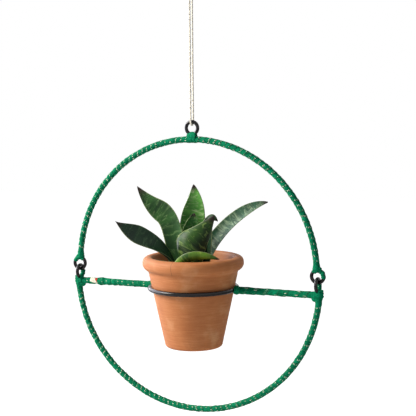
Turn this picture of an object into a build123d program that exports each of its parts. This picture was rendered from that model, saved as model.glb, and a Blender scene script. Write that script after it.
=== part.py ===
from build123d import *
import os
from math import acos, asin, cos, degrees, pi, radians, sin

os.makedirs("parts", exist_ok=True)

# The origin is the hook point: the inside of the top of the twine's loop.
# Every height below is measured up from the crossbar, and crossbar_z puts it in the part's frame.
crossbar_z = -345.0

# The two bent wires and the crossbar, as one flat hoop in the XZ plane
core_wire = 2.0
arch_radius = 132.3
arch_centre = 19.7
hoop_radius = 135.0
hoop_centre = 7.6

# The four small rings, and the ring that carries the pot
eye_radius = 6.3
eye_wire = 1.8
link_x = 133.2
link_gap = 0.3
corner_eye_height = core_wire + eye_radius + eye_wire
arch_eye_height = corner_eye_height + 2 * (eye_radius - eye_wire) - link_gap
top_eye_height = 163.6
pot_ring_radius = 44.9
pot_ring_wire = 2.2

# The welds, as the radius of each blob, and the short stem under the hanging ring
stem_radius = 1.7
arch_weld = 2.4
corner_weld = 2.6
pot_ring_weld = 2.5
butt_gap = 0.3

# The fabric strip: along one turn, how far along it is and how far it stands from the wire's centre
strip_turn = ((0.0, 2.9), (0.14, 3.25), (0.75, 3.15), (0.95, 2.95))
bar_swell = 0.25
wrap_bore = core_wire + 0.02
arch_turns = 33
hoop_turns = 34
left_bar_turns = 12
right_bar_turns = 7
arch_wrap_foot = 31.5
hoop_wrap_top = -9.5
bar_wrap_inner = 52.0
bar_wrap_outer = 126.5

# The places where the strip is bound over a joint of the wires
wrap_clearance = 0.2
binding_radius = 2.8
top_binding_half_width = 5.0
top_binding_half_depth = 3.5
top_binding_low = 148.4
top_binding_high = 160.0
corner_binding_half_depth = 3.3
corner_binding_top = 5.2
corner_binding_bevel = 1.3
knob_inner = 45.2
knob_radius = 4.7
knob_bore = 2.6
knob_bore_end = 49.8

# The terracotta pot: heights and radii of its outside, of its inside, and of the soil in it
pot_base = -61.0
pot_foot = -57.4
pot_foot_radius = 30.0
pot_neck = 13.2
pot_neck_radius = 45.2
pot_rim_low = 18.6
pot_rim_low_radius = 47.0
pot_rim_middle = 26.7
pot_rim_radius = 52.1
pot_rim_top = 32.7
pot_rim_top_radius = 46.0
pot_lip = 28.6
pot_lip_radius = 41.3
pot_floor = -55.0
pot_floor_radius = 25.2
inner_wall_foot = -52.5
inner_wall_foot_radius = 27.8
inner_wall_top = 24.0
inner_wall_top_radius = 40.0
drain_radius = 6.5
soil_top = 16.0
soil_gap = 0.1

# The twine
twine_radius = 1.0
strand_spread = eye_wire + twine_radius + link_gap
strand_bottom = top_eye_height + eye_radius - strand_spread
knot_bottom = 304.0
knot_top = 314.0
knot_middle = 308.0
knot_radius = 5.0
knot_foot_radius = 4.3
knot_top_radius = 2.9
loop_half_width = 6.8
loop_foot = 1.3
loop_neck = -24.5
loop_shoulder = -14.0


def at(height):
    """A height above the crossbar, in the part's frame."""
    return crossbar_z + height


def hoop_plane(centre, radius, angle):
    """The plane square to a bent wire at that angle, with its first axis across the hoop."""
    a = radians(angle)
    return Plane(
        origin=(radius * cos(a), 0, at(centre) + radius * sin(a)),
        x_dir=(0, 1, 0),
        z_dir=(-sin(a), 0, cos(a)),
    )


def hoop_axis(centre):
    """The line that a bent wire curves round."""
    return Axis((0, 0, at(centre)), (0, -1, 0))


def save(piece, name):
    piece.part.label = name
    export_step(piece.part, f"parts/{name}.step")


def eye(centre, across, radius=eye_radius, wire=eye_wire):
    """A closed ring of round wire. across is the direction through its hole."""
    with BuildPart(Plane(origin=centre, z_dir=across)) as ring:
        Torus(radius, wire)
    return ring


def bent_wire(centre, radius, start, end, thickness=core_wire):
    with BuildPart() as wire:
        with BuildSketch(hoop_plane(centre, radius, start)):
            Circle(thickness)
        revolve(axis=hoop_axis(centre), revolution_arc=end - start)
    return wire


def wrapped_arc(centre, radius, start, end, turns):
    """The fabric strip wound on a bent wire: each turn steps up over the last one."""
    step = (end - start) / turns
    with BuildPart() as wrap:
        for turn in range(turns):
            for share, height in strip_turn:
                with BuildSketch(hoop_plane(centre, radius, start + step * (turn + share))):
                    Circle(height)
        with BuildSketch(hoop_plane(centre, radius, end)):
            Circle(strip_turn[0][1])
        loft(ruled=True)
        with BuildSketch(hoop_plane(centre, radius, start)):
            Circle(wrap_bore)
        revolve(axis=hoop_axis(centre), revolution_arc=end - start, mode=Mode.SUBTRACT)
    return wrap


def wrapped_bar(start, end, turns):
    """The strip wound on half of the crossbar, from x = start to x = end."""
    step = (end - start) / turns
    with BuildPart() as wrap:
        for turn in range(turns):
            for share, height in strip_turn:
                with BuildSketch(Plane.YZ.offset(start + step * (turn + share))):
                    with Locations((0, at(0))):
                        Circle(height + bar_swell)
        with BuildSketch(Plane.YZ.offset(end)):
            with Locations((0, at(0))):
                Circle(strip_turn[0][1] + bar_swell)
        loft(ruled=True)
        with BuildSketch(Plane.YZ.offset(min(start, end))):
            with Locations((0, at(0))):
                Circle(wrap_bore)
        extrude(amount=abs(end - start), mode=Mode.SUBTRACT)
    return wrap


def eye_sleeve(centre, level, across, start, end):
    """A binding along part of a ring, from one angle to another, counted up from its level direction."""
    flat = Plane(origin=centre, x_dir=level, z_dir=across)
    a = radians(start)
    out = flat.x_dir * cos(a) + flat.y_dir * sin(a)
    with BuildPart() as sleeve:
        with BuildSketch(Plane(origin=flat.origin + out * eye_radius, x_dir=out, z_dir=flat.z_dir.cross(out))):
            Circle(binding_radius)
        revolve(axis=Axis(flat.origin, flat.z_dir), revolution_arc=end - start)
    return sleeve


# The upper frame: an arch of wire with a ring at its top and one at each end
arch_end = degrees(asin((arch_eye_height + eye_radius - arch_centre) / arch_radius))
arch_wrap_start = degrees(asin((arch_wrap_foot - arch_centre) / arch_radius))
arch_wrap_end = degrees(acos((top_binding_half_width + wrap_clearance) / arch_radius))

hanging_ring = eye((0, 0, at(top_eye_height)), (0, 1, 0))
save(hanging_ring, "hanging_ring")

arch_rings = {}
for side, name in ((-1, "left"), (1, "right")):
    arch_rings[name] = eye((side * link_x, 0, at(arch_eye_height)), (0, 1, 0))
    save(arch_rings[name], f"{name}_arch_ring")

with BuildPart() as arch_wire:
    add(bent_wire(arch_centre, arch_radius, arch_end, 180 - arch_end).part)
    for ring in arch_rings.values():
        add(ring.part, mode=Mode.SUBTRACT)
save(arch_wire, "arch_wire")

with BuildPart() as upper_welds:
    with BuildSketch(Plane.XY.offset(at(arch_centre + arch_radius))):
        Circle(stem_radius)
    extrude(amount=top_eye_height - eye_radius - arch_centre - arch_radius)
    with Locations(*[(side * (link_x - 1), 0, at(arch_eye_height + eye_radius + 2)) for side in (-1, 1)]):
        Sphere(arch_weld)
    for piece in (hanging_ring, arch_wire, *arch_rings.values()):
        add(piece.part, mode=Mode.SUBTRACT)
save(upper_welds, "upper_welds")

arch_wrap_right = wrapped_arc(arch_centre, arch_radius, arch_wrap_start, arch_wrap_end, arch_turns)
save(arch_wrap_right, "arch_wrap_right")
arch_wrap_left = wrapped_arc(arch_centre, arch_radius, 180 - arch_wrap_start, 180 - arch_wrap_end, arch_turns)
save(arch_wrap_left, "arch_wrap_left")

with BuildPart() as top_ring_binding:
    with Locations((0, 0, at((top_binding_low + top_binding_high) / 2))):
        Box(2 * top_binding_half_width, 2 * top_binding_half_depth, top_binding_high - top_binding_low)
    fillet(top_ring_binding.edges().filter_by(Axis.X), 2.4)
    fillet(top_ring_binding.edges().filter_by(Axis.Z), 0.8)
    for piece in (arch_wire, hanging_ring, upper_welds):
        add(piece.part, mode=Mode.SUBTRACT)
save(top_ring_binding, "top_ring_binding")

# How far round the ring each arch binding reaches, in degrees up from level on its outer side
for side, name, outer_reach in ((-1, "left", 18), (1, "right", -20)):
    with BuildPart() as arch_binding:
        with BuildSketch(hoop_plane(arch_centre, arch_radius, 90 - side * (90 - arch_wrap_start))):
            Circle(3.2)
        with BuildSketch(Plane(origin=(side * (link_x - 0.9), 0, at(arch_eye_height + eye_radius + 2.4)))):
            Ellipse(4.1, 3.2)
        with BuildSketch(Plane(origin=(side * link_x, 0, at(arch_eye_height + 5.6)))):
            Ellipse(4.6, 2.9)
        loft(ruled=True)
        middle = (side * link_x, 0, at(arch_eye_height))
        if side > 0:
            add(eye_sleeve(middle, (1, 0, 0), (0, -1, 0), outer_reach, 140).part)
        else:
            add(eye_sleeve(middle, (1, 0, 0), (0, -1, 0), 40, 180 - outer_reach).part)
        for piece in (arch_wire, upper_welds, arch_rings[name]):
            add(piece.part, mode=Mode.SUBTRACT)
    save(arch_binding, f"{name}_arch_binding")

# The lower frame: a wider hoop of wire under a crossbar, with the pot's ring in the middle of it
hoop_end = degrees(asin(hoop_centre / hoop_radius))
hoop_wrap_start = degrees(asin((hoop_centre - hoop_wrap_top + 2.5 * wrap_clearance) / hoop_radius))
corner_x = hoop_radius * cos(radians(hoop_end))

pot_ring = eye((0, 0, at(0)), (0, 0, 1), pot_ring_radius, pot_ring_wire)
save(pot_ring, "pot_ring")

corner_rings = {}
for side, name in ((-1, "left"), (1, "right")):
    corner_rings[name] = eye((side * link_x, 0, at(corner_eye_height)), (1, 0, 0))
    save(corner_rings[name], f"{name}_corner_ring")

hoop_wire = bent_wire(hoop_centre, hoop_radius, -hoop_end, hoop_end - 180)
save(hoop_wire, "hoop_wire")

bar_wires = {}
for side, name in ((-1, "left"), (1, "right")):
    with BuildPart() as bar_wire:
        with BuildSketch(Plane.YZ.offset(side * pot_ring_radius)):
            with Locations((0, at(0))):
                Circle(core_wire)
        extrude(amount=side * (corner_x - core_wire - butt_gap - pot_ring_radius))
        add(pot_ring.part, mode=Mode.SUBTRACT)
    bar_wires[name] = bar_wire
    save(bar_wire, f"{name}_bar_wire")

with BuildPart() as lower_welds:
    with Locations(*[(side * (corner_x - core_wire), 0, at(0.4)) for side in (-1, 1)]):
        Sphere(corner_weld)
    with Locations(*[(side * (pot_ring_radius + pot_ring_wire), 0, at(0)) for side in (-1, 1)]):
        Sphere(pot_ring_weld)
    for piece in (pot_ring, hoop_wire, *bar_wires.values(), *corner_rings.values()):
        add(piece.part, mode=Mode.SUBTRACT)
save(lower_welds, "lower_welds")

hoop_wrap_right = wrapped_arc(hoop_centre, hoop_radius, -hoop_wrap_start, -90, hoop_turns)
save(hoop_wrap_right, "hoop_wrap_right")
hoop_wrap_left = wrapped_arc(hoop_centre, hoop_radius, hoop_wrap_start - 180, -90, hoop_turns)
save(hoop_wrap_left, "hoop_wrap_left")
left_bar_wrap = wrapped_bar(-bar_wrap_outer, -bar_wrap_inner, left_bar_turns)
save(left_bar_wrap, "left_bar_wrap")
right_bar_wrap = wrapped_bar(bar_wrap_outer, bar_wrap_inner, right_bar_turns)
save(right_bar_wrap, "right_bar_wrap")

# The strip binds each corner as a lump with a web under the bar, and climbs the back of the ring
for side, name, swell in ((-1, "left", 5.2), (1, "right", 4.2)):
    with BuildPart() as corner_binding:
        with BuildSketch(Plane.XZ.offset(-corner_binding_half_depth)):
            with BuildLine():
                outline = [
                    (bar_wrap_outer, 3.4),
                    (link_x - 4.4, 4.0),
                    (link_x - 3.2, corner_binding_top),
                    (link_x + 3.4, corner_binding_top),
                    (corner_x + swell, 1.6),
                    (corner_x + swell, -4.0),
                    (corner_x + 2.2, hoop_wrap_top),
                    (corner_x - 4.1, hoop_wrap_top),
                ]
                Polyline(*[(side * x, at(z)) for x, z in outline])
                ThreePointArc(
                    (side * (corner_x - 4.1), at(hoop_wrap_top)),
                    (side * (corner_x - 5.4), at(-5.2)),
                    (side * bar_wrap_outer, at(-3.4)),
                )
                Line((side * bar_wrap_outer, at(-3.4)), (side * bar_wrap_outer, at(3.4)))
            make_face()
        extrude(amount=2 * corner_binding_half_depth)
        long_edges = corner_binding.edges().group_by(Axis.Y)
        chamfer(long_edges[0] + long_edges[-1], corner_binding_bevel)
        add(eye_sleeve((side * link_x, 0, at(corner_eye_height)), (0, 1, 0), (1, 0, 0), -115, 0).part)
        for piece in (hoop_wire, bar_wires[name], corner_rings[name], lower_welds):
            add(piece.part, mode=Mode.SUBTRACT)
    save(corner_binding, f"{name}_corner_binding")

# A lump of strip is tied where each half of the crossbar meets the pot's ring
for side, name in ((-1, "left"), (1, "right")):
    with BuildPart() as ring_binding:
        with BuildSketch(Plane.XZ):
            with BuildLine():
                inner, outer, step = side * knob_inner, side * bar_wrap_inner, side * knob_bore_end
                Polyline(
                    (outer, at(3.4)),
                    (outer, at(wrap_bore)),
                    (step, at(wrap_bore)),
                    (step, at(knob_bore)),
                    (inner, at(knob_bore)),
                    (inner, at(3.2)),
                )
                ThreePointArc((inner, at(3.2)), (inner + side * 2.7, at(knob_radius)), (outer, at(3.4)))
            make_face()
        revolve(axis=Axis((0, 0, at(0)), (1, 0, 0)))
        add(pot_ring.part, mode=Mode.SUBTRACT)
    save(ring_binding, f"{name}_pot_ring_binding")

# The pot: a turned wall, thicker rolled rim, flat base and a drain hole
with BuildPart() as pot:
    with BuildSketch(Plane.XZ):
        with BuildLine():
            wall_foot = (inner_wall_foot_radius, at(inner_wall_foot))
            wall_top = (inner_wall_top_radius, at(inner_wall_top))
            lip = (pot_lip_radius, at(pot_lip))
            rim_top = (pot_rim_top_radius, at(pot_rim_top))
            rim_middle = (pot_rim_radius, at(pot_rim_middle))
            rim_low = (pot_rim_low_radius, at(pot_rim_low))
            neck = (pot_neck_radius, at(pot_neck))
            foot = (pot_foot_radius, at(pot_foot))
            base_edge = (pot_foot_radius - 3.6, at(pot_base))
            floor_edge = (pot_floor_radius, at(pot_floor))
            Polyline(wall_foot, wall_top, lip)
            ThreePointArc(lip, (42.7, at(31.6)), rim_top)
            ThreePointArc(rim_top, (50.4, at(31.0)), rim_middle)
            ThreePointArc(rim_middle, (51.0, at(21.8)), rim_low)
            ThreePointArc(rim_low, (45.8, at(16.4)), neck)
            Line(neck, foot)
            ThreePointArc(foot, (29.0, at(-60.0)), base_edge)
            Polyline(base_edge, (drain_radius, at(pot_base)), (drain_radius, at(pot_floor)), floor_edge)
            ThreePointArc(floor_edge, (27.1, at(-54.3)), wall_foot)
        make_face()
    revolve(axis=Axis.Z)
save(pot, "pot")

with BuildPart() as soil:
    with BuildSketch(Plane.XZ):
        wall_slope = (inner_wall_top_radius - inner_wall_foot_radius) / (inner_wall_top - inner_wall_foot)
        soil_top_radius = inner_wall_foot_radius + (soil_top - inner_wall_foot) * wall_slope - soil_gap
        with BuildLine():
            Polyline(
                (0, at(soil_top)),
                (soil_top_radius, at(soil_top)),
                (inner_wall_foot_radius - soil_gap, at(inner_wall_foot)),
                (pot_floor_radius - soil_gap, at(pot_floor)),
                (0, at(pot_floor)),
                close=True,
            )
        make_face()
    revolve(axis=Axis.Z)
save(soil, "soil")


def leaf_point(path, t):
    """The point a share t along a leaf's midrib, a Bezier curve through its four points."""
    a, b, c, d = (Vector(x, y, at(z)) for x, y, z in path)
    s = 1 - t
    return a * s**3 + b * (3 * s * s * t) + c * (3 * s * t * t) + d * t**3


def leaf_way(path, t):
    """The direction of the midrib there."""
    return (leaf_point(path, t + 0.002) - leaf_point(path, t - 0.002)).normalized()


def leaf(name, path, width, face, curl, base, peak, point):
    """One leaf, a tapered channel. face is the way its hollow side looks, at the foot and at the tip."""
    with BuildPart() as blade:
        for t in (0.0, 0.1, 0.2, 0.3, 0.4, 0.5, 0.6, 0.7, 0.8, 0.88, 0.95, 0.99):
            way = leaf_way(path, t)
            up = Vector(*face[0]) * (1 - t) + Vector(*face[1]) * t
            up = (up - way * up.dot(way)).normalized()
            rise = base + (1 - base) * sin(pi / 2 * min(1, t / peak))
            fall = cos(pi / 2 * max(0, (t - peak) / (1 - peak))) ** point
            half = radians(curl[0] * (1 - t) + curl[1] * t) / 2
            round_radius = width / 2 * rise * fall / half
            middle, edge = 2.2 * min(1, 3.3 * (1 - t) + 0.3), 0.5
            x, y = round_radius * sin(half), round_radius * (1 - cos(half))
            low_x, low_y = x + edge * sin(half), y - edge * cos(half)
            with BuildSketch(Plane(origin=leaf_point(path, t), x_dir=up.cross(way) * -1, z_dir=way)):
                with BuildLine():
                    ThreePointArc((-x, y), (0, 0), (x, y))
                    Line((x, y), (low_x, low_y))
                    ThreePointArc((low_x, low_y), (0, -middle), (-low_x, low_y))
                    Line((-low_x, low_y), (-x, y))
                make_face()
        loft(ruled=True)
        split(bisect_by=Plane.XY.offset(at(soil_top)), keep=Keep.TOP)
    save(blade, name)
    return blade


# Each leaf's midrib has four points: its foot in the soil, two that bend it, and its tip
leaf(
    "leaf_low_left",
    path=((-13.9, -10.6, 10), (-13.2, -15.7, 46.0), (-42.0, -35.1, 48.8), (-64.1, -48.3, 71.5)),
    width=22.9, face=((0.63, 0.33, 0.70), (0.58, -0.72, 0.38)), curl=(70, 40), base=0.42, peak=0.69, point=1.2,
)
leaf(
    "leaf_high_left",
    path=((-13.8, 1.5, 10), (-25.1, -2.4, 98.6), (-29.6, 0.0, 60.8), (-58.8, -8.7, 103.6)),
    width=23.6, face=((-0.05, -1.0, -0.05), (0.16, -0.97, -0.17)), curl=(60, 40), base=0.95, peak=0.58, point=0.78,
)
leaf(
    "leaf_upright",
    path=((-4.4, 12.3, 10), (-11.3, 10.3, 76.3), (-1.1, 17.0, 72.5), (-6.4, 16.9, 104.9)),
    width=27.4, face=((0.54, -0.84, 0.03), (0.35, -0.93, 0.15)), curl=(80, 50), base=0.59, peak=0.36, point=0.72,
)
leaf(
    "leaf_right",
    path=((8.4, 8.1, 10), (0.9, 9.1, 41.9), (44.7, 33.0, 84.4), (65.5, 44.5, 86.1)),
    width=19.1, face=((-0.07, -0.94, 0.35), (-0.23, -0.57, 0.79)), curl=(60, 40), base=0.61, peak=0.67, point=0.93,
)
leaf(
    "leaf_curled",
    path=((4.2, -16.8, 10), (-1.5, -26.9, 53.9), (6.3, -21.3, 35.2), (26.6, -5.6, 75.9)),
    width=39.9, face=((0.47, 0.87, 0.12), (-0.64, 0.76, 0.08)), curl=(130, 90), base=0.53, peak=0.43, point=0.8,
)
leaf(
    "leaf_on_rim",
    path=((-8.5, -30.6, 10), (-0.9, -40.3, 40.0), (20.8, -35.6, 42.0), (39.6, -25.2, 34.5)),
    width=11, face=((-0.4, 0.9, 0.3), (-0.4, 0.9, 0.3)), curl=(60, 40), base=0.7, peak=0.45, point=0.8,
)
leaf(
    "leaf_small_right",
    path=((14.3, -0.2, 10), (14.0, 3.0, 48.0), (12.7, 3.5, 84.0), (24.9, 6.7, 68.0)),
    width=15, face=((-0.26, -0.88, 0.30), (-0.26, -0.88, 0.30)), curl=(60, 40), base=0.7, peak=0.45, point=0.8,
)
leaf(
    "leaf_inner_left",
    path=((-7.9, -26.5, 10), (-11.1, -29.6, 22.8), (-19.7, -30.3, 28.8), (-29.0, -28.4, 31.5)),
    width=11, face=((0.43, -0.47, 1.0), (0.43, -0.47, 1.0)), curl=(60, 40), base=0.7, peak=0.45, point=0.8,
)
leaf(
    "leaf_young",
    path=((-0.5, -1.3, 10), (-1.5, -4.0, 36.0), (-1.1, -4.9, 58.0), (2.6, -2.1, 77.0)),
    width=20, face=((0.5, -0.87, 0.2), (0.5, -0.87, 0.2)), curl=(90, 60), base=0.7, peak=0.5, point=0.8,
)


def cord_tube(points, radii):
    """A round tube along straight runs joined by arcs of those radii."""
    with BuildPart() as tube:
        with BuildLine() as route:
            FilletPolyline(*points, radius=radii)
        with BuildSketch(Plane(origin=route.line @ 0, z_dir=route.line % 0)):
            Circle(twine_radius)
        sweep()
    length = sum(edge.length for edge in route.edges())
    print("radii", [round(r, 1) for r in radii], "length", round(length, 1))
    print("volume", round(tube.part.volume, 1), "and section times length", round(pi * twine_radius**2 * length, 1))
    return tube


# The twine hangs down in front of the ring's top, goes under it, and climbs up behind
twine_strands = cord_tube(
    [
        (0, -strand_spread, at(knot_bottom)),
        (0, -strand_spread, at(strand_bottom)),
        (0, strand_spread, at(strand_bottom)),
        (0, strand_spread, at(knot_bottom)),
    ],
    [strand_spread - 0.05] * 2,
)
save(twine_strands, "twine_strands")

# Both strands end in a knot, and the same twine makes the loop that goes on a hook
with BuildPart() as twine_knot:
    with BuildSketch(Plane.XZ):
        with BuildLine():
            knot_foot, knot_shoulder = (knot_foot_radius, at(knot_bottom)), (knot_top_radius, at(knot_top))
            Polyline((0, at(knot_top)), (0, at(knot_bottom)), knot_foot)
            ThreePointArc(knot_foot, (knot_radius, at(knot_middle)), knot_shoulder)
            Line(knot_shoulder, (0, at(knot_top)))
        make_face()
    revolve(axis=Axis.Z)
save(twine_knot, "twine_knot")

loop_route = [
    (-loop_foot, 0, at(knot_top)),
    (-loop_foot, 0, loop_neck),
    (-loop_half_width, 0, loop_shoulder),
    (-loop_half_width, 0, twine_radius),
    (loop_half_width, 0, twine_radius),
    (loop_half_width, 0, loop_shoulder),
    (loop_foot, 0, loop_neck),
    (loop_foot, 0, at(knot_top)),
]
twine_top_loop = cord_tube(loop_route, [12.0, 21.5, 6.1, 6.1, 21.5, 12.0])
save(twine_top_loop, "twine_top_loop")
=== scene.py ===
from math import acos, asin, cos, degrees, exp, floor, pi, radians, sin

import bmesh
import bpy
from mathutils import Matrix, Vector, noise


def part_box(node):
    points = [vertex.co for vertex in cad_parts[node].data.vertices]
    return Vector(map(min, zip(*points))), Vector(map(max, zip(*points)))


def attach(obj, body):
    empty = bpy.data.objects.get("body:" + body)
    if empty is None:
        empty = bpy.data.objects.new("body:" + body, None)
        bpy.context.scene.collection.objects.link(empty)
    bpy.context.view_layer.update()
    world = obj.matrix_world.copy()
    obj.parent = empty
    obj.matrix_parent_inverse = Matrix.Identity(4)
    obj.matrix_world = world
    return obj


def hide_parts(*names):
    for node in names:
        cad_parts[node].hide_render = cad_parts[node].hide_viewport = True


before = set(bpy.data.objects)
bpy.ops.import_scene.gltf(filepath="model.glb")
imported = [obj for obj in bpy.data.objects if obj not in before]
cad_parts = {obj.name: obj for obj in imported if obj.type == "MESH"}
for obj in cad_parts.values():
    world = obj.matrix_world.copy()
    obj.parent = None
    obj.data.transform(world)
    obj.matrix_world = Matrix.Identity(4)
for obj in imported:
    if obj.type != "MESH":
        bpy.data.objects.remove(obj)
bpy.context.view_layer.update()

# The planter hangs from a hook at the origin. Heights are measured up from its crossbar in millimetres, as
# they are on a maker's bench, and place() turns them to metres in the frame.
mm = 0.001
crossbar_z = sum(corner.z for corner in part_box("pot_ring")) / 2


def place(x, y, height):
    """A point in metres from millimetres, its height measured up from the crossbar."""
    return Vector((x * mm, y * mm, crossbar_z + height * mm))


# The photograph's camera stands 1.1 m off, 24 degrees round to the right, a hand's width above the
# crossbar. A long lens keeps the hoops almost round.
camera_distance = 1100.0
camera_side = radians(24.0)
camera_height = 191.3
camera_turn = radians(-0.813)
camera_tilt = radians(5.683)
camera_roll = radians(-0.491)
camera_lens = 93.62

scene = bpy.context.scene


def add_object(name, data):
    """A new object, put in the scene."""
    made = bpy.data.objects.new(name, data)
    scene.collection.objects.link(made)
    return made


camera = add_object("camera", bpy.data.cameras.new("camera"))
scene.camera = camera
camera.data.lens = camera_lens
camera.data.sensor_width = 36.0
camera.matrix_world = (
    Matrix.Translation(
        place(sin(camera_side) * camera_distance, -cos(camera_side) * camera_distance, camera_height)
    )
    @ Matrix.Rotation(camera_side + camera_turn, 4, "Z")
    @ Matrix.Rotation(pi / 2 - camera_tilt, 4, "X")
    @ Matrix.Rotation(camera_roll, 4, "Z")
)


# The twine is one length of three-ply jute, pale and hard twisted. It goes down in front of the hanging
# ring's top, under it and up behind, and both ends are knotted together above. The same twine makes the
# hook's loop.
def linear(colour):
    """A six-figure sRGB hex colour as linear red, green, blue and alpha."""
    values = [int(colour[i:i + 2], 16) / 255 for i in (1, 3, 5)]
    return [v / 12.92 if v <= 0.04045 else ((v + 0.055) / 1.055) ** 2.4 for v in values] + [1.0]


def connect(tree, target, inputs):
    """Fills a node's inputs, by name or number, each with a value or another node's output."""
    for name, value in inputs.items():
        if isinstance(value, bpy.types.NodeSocket):
            tree.links.new(value, target.inputs[name])
        else:
            target.inputs[name].default_value = value


def node(tree, kind, settings=None, inputs=None):
    """Adds a node with its settings and inputs."""
    made = tree.nodes.new("ShaderNode" + kind)
    for name, value in (settings or {}).items():
        if name == "stops":
            ramp = made.color_ramp
            while len(ramp.elements) < len(value):
                ramp.elements.new(1.0)
            for element, (position, colour) in zip(ramp.elements, value):
                element.position = position
                element.color = linear(colour) if isinstance(colour, str) else [colour] * 3 + [1.0]
        else:
            setattr(made, name, value)
    connect(tree, made, inputs or {})
    return made


def new_finish(name):
    """A material, its node tree and its shader."""
    material = bpy.data.materials.new(name)
    material.use_nodes = True
    return material, material.node_tree, material.node_tree.nodes["Principled BSDF"]


def skin(name, rings, chart, material):
    """A closed piece through rings of points, flat at both ends. chart gives metres on the skin."""
    count = len(rings[0])
    mesh = bpy.data.meshes.new(name)
    faces = []
    corners = []
    for i in range(len(rings) - 1):
        for j in range(count):
            k = (j + 1) % count
            faces.append((i * count + j, i * count + k, (i + 1) * count + k, (i + 1) * count + j))
            corners += [(i, j), (i, j + 1), (i + 1, j + 1), (i + 1, j)]
    for i in (0, len(rings) - 1):
        loop = range(count) if i else range(count - 1, -1, -1)
        faces.append([i * count + j for j in loop])
        corners += [(i, j) for j in loop]
    mesh.from_pydata([point for ring in rings for point in ring], [], faces)
    layer = mesh.uv_layers.new(name="chart")
    for item, (i, j) in zip(layer.data, corners):
        item.uv = chart(i, j)
    mesh.polygons.foreach_set("use_smooth", [True] * (len(faces) - 2) + [False] * 2)
    mesh.materials.append(material)
    return add_object(name, mesh)


twine_colours = [(0.0, "#DDD2B6"), (0.45, "#F6F0DF"), (1.0, "#FFFDF6")]
twine_radius = 1.0
twine_step = 0.35 * mm
ply_count = 3
ply_lay = 5.5
ply_groove = 0.16
fibre = 0.12 * mm
fibre_stretch = 14
flat_noise = {"noise_dimensions": "2D"}

# Jute is spun from coarse bast, so the twine is matt, a little hairy, and streaked along its plies.
jute, tree, shader = new_finish("spun_jute")
where = node(tree, "TexCoord").outputs["UV"]
stretched = node(tree, "Mapping", inputs={
    "Vector": where, "Scale": (1 / (fibre_stretch * fibre), 1 / fibre, 1)})
fibres = node(tree, "TexNoise", flat_noise, {
    "Vector": stretched.outputs[0], "Scale": 1.0, "Detail": 4.0})
shade = node(tree, "ValToRGB", {"stops": twine_colours}, {"Fac": fibres.outputs["Fac"]})
bump = node(tree, "Bump", inputs={"Height": fibres.outputs["Fac"], "Strength": 0.7, "Distance": fibre})
connect(tree, shader, {
    "Base Color": shade.outputs[0], "Normal": bump.outputs[0], "Roughness": 0.85, "Sheen Weight": 0.3})


def cord_line(name, points):
    """The smooth line of a cord through its route, read from a spline with those control points."""
    curve = bpy.data.curves.new(name + "_line", "CURVE")
    curve.dimensions = "3D"
    spline = curve.splines.new("NURBS")
    spline.points.add(len(points) - 1)
    for control, point in zip(spline.points, points):
        control.co = (*point, 1.0)
    spline.order_u = 3
    spline.use_endpoint_u = True
    spline.resolution_u = 24
    holder = bpy.data.objects.new(name + "_line", curve)
    mesh = bpy.data.meshes.new_from_object(holder)
    line = [v.co.copy() for v in mesh.vertices]
    bpy.data.objects.remove(holder)
    return line


def evenly(line, step):
    """The same line with its points that far apart."""
    spaced = [line[0]]
    left = step
    for a, b in zip(line, line[1:]):
        run = (b - a).length
        while left <= run:
            spaced.append(a.lerp(b, left / run))
            left += step
        left -= run
    if (spaced[-1] - line[-1]).length > step / 4:
        spaced.append(line[-1])
    return spaced


def twist_of_plies(name, line, material):
    """A rope of three plies along a line, its plies laid round each other."""
    rings = []
    around = 18
    side = Vector((1, 0, 0))
    run = 0.0
    for i, point in enumerate(line):
        ahead = (line[min(i + 1, len(line) - 1)] - line[max(i - 1, 0)]).normalized()
        side = (side - ahead * side.dot(ahead)).normalized()
        up = ahead.cross(side)
        run += (point - line[i - 1]).length if i else 0.0
        turn = 2 * pi * run / (ply_lay * mm)
        ring = []
        for j in range(around):
            angle = 2 * pi * j / around
            lobe = abs(cos(ply_count / 2 * (angle - turn / ply_count)))
            radius = twine_radius * mm * (1 - ply_groove + ply_groove * lobe)
            ring.append(point + (side * cos(angle) + up * sin(angle)) * radius)
        rings.append(ring)
    step = (line[1] - line[0]).length
    return skin(name, rings, lambda i, j: (i * step, j / around * 2 * pi * twine_radius * mm), material)


strand_spread = 3.1
strand_straight = 180.0
strand_bend_spread = 3.35
strand_bend = 166.5
knot_bottom = 304.0
knot_top = 314.0
strands_line = evenly(
    cord_line(
        "twine_strands",
        [
            place(0, -strand_spread, knot_bottom),
            place(0, -strand_spread, strand_straight),
            place(0, -strand_bend_spread, strand_bend),
            place(0, strand_bend_spread, strand_bend),
            place(0, strand_spread, strand_straight),
            place(0, strand_spread, knot_bottom),
        ],
    ),
    twine_step,
)
strands = twist_of_plies("twine_pair", strands_line, jute)
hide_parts("twine_strands")
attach(strands, "twine")

# The loop for the hook rises from the knot, opens out to a finger's width and closes over the hook.
loop_neck = 1.3
loop_neck_top = 320.5
loop_half = 6.8
loop_shoulder = 331.0
loop_crown = 346.0
loop_side = (
    (loop_neck, knot_top), (loop_neck, loop_neck_top), (loop_half, loop_shoulder), (loop_half, loop_crown),
)
loop_line = evenly(
    cord_line(
        "twine_top_loop",
        [place(-x, 0, height) for x, height in loop_side]
        + [place(x, 0, height) for x, height in loop_side[::-1]],
    ),
    twine_step,
)
hook_loop = twist_of_plies("twine_hook_loop", loop_line, jute)
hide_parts("twine_top_loop")
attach(hook_loop, "hook_loop")

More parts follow.
